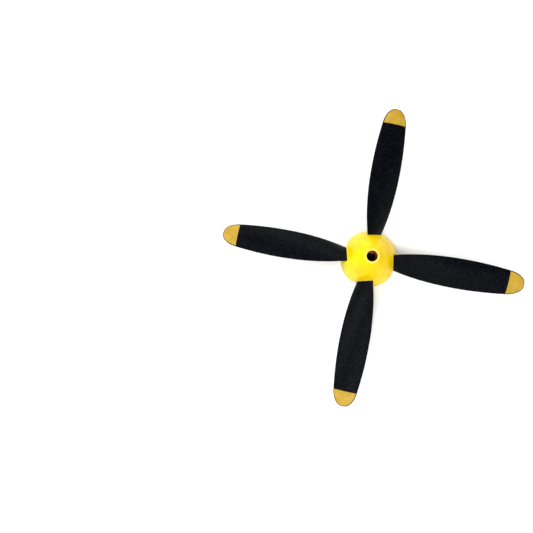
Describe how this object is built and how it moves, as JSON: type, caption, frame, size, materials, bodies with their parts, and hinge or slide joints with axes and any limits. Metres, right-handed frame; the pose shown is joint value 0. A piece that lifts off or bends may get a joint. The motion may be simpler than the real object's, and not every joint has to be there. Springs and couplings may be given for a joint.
{
  "type": "model aircraft propeller",
  "caption": "Model aircraft propeller with twisted black plastic blades clamped in a hub, under a bright yellow hollow spinner, turning on a fixed steel axle.",
  "frame": {"origin": "on the spin axis, at the rear face of the axle's flange, where the propeller seats on the aircraft", "axes": "+Z along the spin axis towards the nose, +X along blade 1, +Y along blade 2"},
  "size_m": [0.13, 0.13, 0.0217],
  "materials": {
    "blade_plastic": "satin",
    "spinner_plastic": "satin",
    "hub_plastic": "matte",
    "black_screw_steel": "satin",
    "axle_steel": "satin",
    "bush_brass": "satin"
  },
  "bodies": {
    "axle": {"axle": "axle_steel", "rear_washer": "axle_steel", "front_washer": "axle_steel", "axle_screw": "black_screw_steel"},
    "propeller": {"rear_bush": "bush_brass", "front_bush": "bush_brass", "hub_rear": "hub_plastic", "hub_front": "hub_plastic", "spinner_shell": "spinner_plastic", "spinner_backplate": "spinner_plastic", "blade_1": "blade_plastic", "blade_2": "blade_plastic", "blade_3": "blade_plastic", "blade_4": "blade_plastic", "clamp_screw_1": "black_screw_steel", "clamp_screw_2": "black_screw_steel", "clamp_screw_3": "black_screw_steel", "clamp_screw_4": "black_screw_steel"}
  },
  "joints": [
    {"name": "spin", "type": "hinge", "parent": "axle", "child": "propeller", "pos_m": [0, 0, 0], "axis": [0, 0, 1], "continuous": true}
  ]
}
